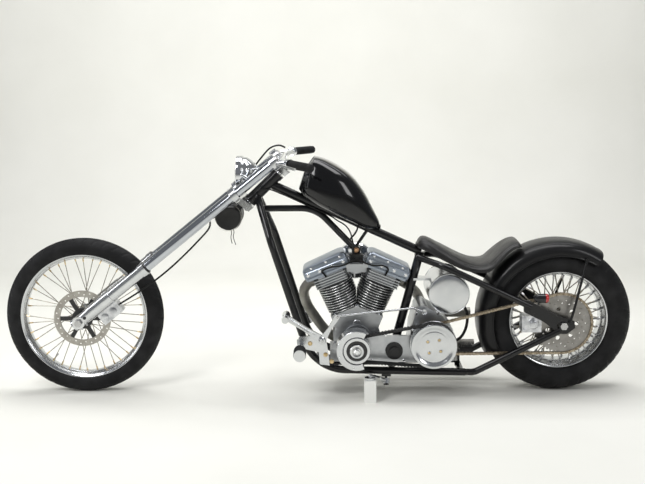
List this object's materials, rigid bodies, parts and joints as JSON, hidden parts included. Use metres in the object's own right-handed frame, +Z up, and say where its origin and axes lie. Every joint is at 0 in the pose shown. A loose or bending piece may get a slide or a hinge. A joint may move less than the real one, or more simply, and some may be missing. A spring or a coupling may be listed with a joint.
{
  "type": "chopper motorcycle",
  "caption": "Rigid-frame chopper motorcycle with a long raked fork, V-twin engine, open belt primary and spoked wheels, leaning on its side stand on a small white block.",
  "frame": {"origin": "on the floor, at the middle of the whole machine's length and width", "axes": "+X towards the rear wheel, along the longest extent; -Y towards the machine's left side; +Z up from the floor"},
  "size_m": [2.7654, 0.74, 1.094],
  "materials": {
    "frame_black": "gloss black enamel",
    "tank_black": "deep gloss black enamel",
    "fender_black": "satin black enamel",
    "polished_alloy": "polished",
    "cast_alloy": "cast, bead blasted",
    "finned_alloy": "cast fins with machined edges",
    "chrome": "bright chrome",
    "axle_steel": "turned",
    "disc_steel": "ground, drilled",
    "chain_steel": "oiled chain, warm grey",
    "spoke_steel": "drawn wire",
    "exhaust_steel": "dull, heat browned",
    "caliper_black": "black anodised",
    "starter_black": "semi gloss black",
    "tyre_rubber": "worn tread, matt sidewall",
    "belt_rubber": "toothed belt",
    "grip_rubber": "ribbed grip",
    "hose_rubber": "smooth hose",
    "seat_leather": "satin black hide",
    "roll_leather": "soft black hide with pale stitching",
    "lamp_black": "gloss black",
    "block_white": "painted white"
  },
  "bodies": {
    "frame": {"steering_head": "frame_black", "backbone": "frame_black", "upper_brace": "frame_black", "down_tubes": "frame_black", "lower_rails": "frame_black", "rear_stays": "frame_black", "seat_post": "frame_black", "axle_plates": "frame_black", "cross_members": "frame_black", "rear_axle_bolt": "axle_steel", "crankcase": "cast_alloy", "cylinder_barrels": "finned_alloy", "cylinder_heads": "finned_alloy", "rocker_boxes": "cast_alloy", "pushrod_tubes": "chrome", "gearcase_cover": "polished_alloy", "carburettor": "cast_alloy", "air_cleaner": "chrome", "motor_plate": "cast_alloy", "engine_pulley": "polished_alloy", "primary_belt": "belt_rubber", "clutch": "polished_alloy", "starter": "starter_black", "gearbox": "cast_alloy", "chain": "chain_steel", "fuel_tank": "tank_black", "seat": "seat_leather", "rear_fender": "fender_black", "fender_struts": "fender_black", "oil_tank": "polished_alloy", "tail_light": "lamp_black", "hoses": "hose_rubber", "ignition": "hose_rubber", "regulator": "starter_black", "exhaust_pipes": "exhaust_steel", "left_control": "polished_alloy", "right_control": "polished_alloy", "rear_caliper": "caliper_black", "stand_block": "block_white"},
    "fork": {"fork_trees": "polished_alloy", "fork_tubes": "chrome", "sliders": "polished_alloy", "front_axle_bolt": "axle_steel", "headlight": "chrome", "handlebar": "chrome", "grips": "grip_rubber", "front_caliper": "caliper_black", "brake_hose": "hose_rubber", "tool_roll": "roll_leather"},
    "front_wheel": {"front_tyre": "tyre_rubber", "front_rim": "polished_alloy", "front_hub": "polished_alloy", "front_spokes": "spoke_steel", "front_disc": "disc_steel"},
    "rear_wheel": {"rear_tyre": "tyre_rubber", "rear_rim": "polished_alloy", "rear_hub": "polished_alloy", "rear_spokes": "spoke_steel", "sprocket_disc": "disc_steel"},
    "stand": {"side_stand": "polished_alloy"}
  },
  "joints": [
    {"name": "steering", "type": "hinge", "parent": "frame", "child": "fork", "pos_m": [-0.29925, 0.01318, 0.85117], "axis": [0.7213, -0.0483, 0.691], "range_deg": [-20, 20]},
    {"name": "front_wheel_spin", "type": "hinge", "parent": "fork", "child": "front_wheel", "pos_m": [-1.03525, 0.04845, 0.3469], "axis": [0, 0.9976, 0.0698], "continuous": true},
    {"name": "rear_wheel_spin", "type": "hinge", "parent": "frame", "child": "rear_wheel", "pos_m": [1.05475, 0.04981, 0.32744], "axis": [0, 0.9976, 0.0698], "continuous": true},
    {"name": "side_stand_fold", "type": "hinge", "parent": "frame", "child": "stand", "pos_m": [0.29375, -0.06142, 0.08309], "axis": [0, 0.2339, 0.9723], "range_deg": [0, 116]}
  ]
}
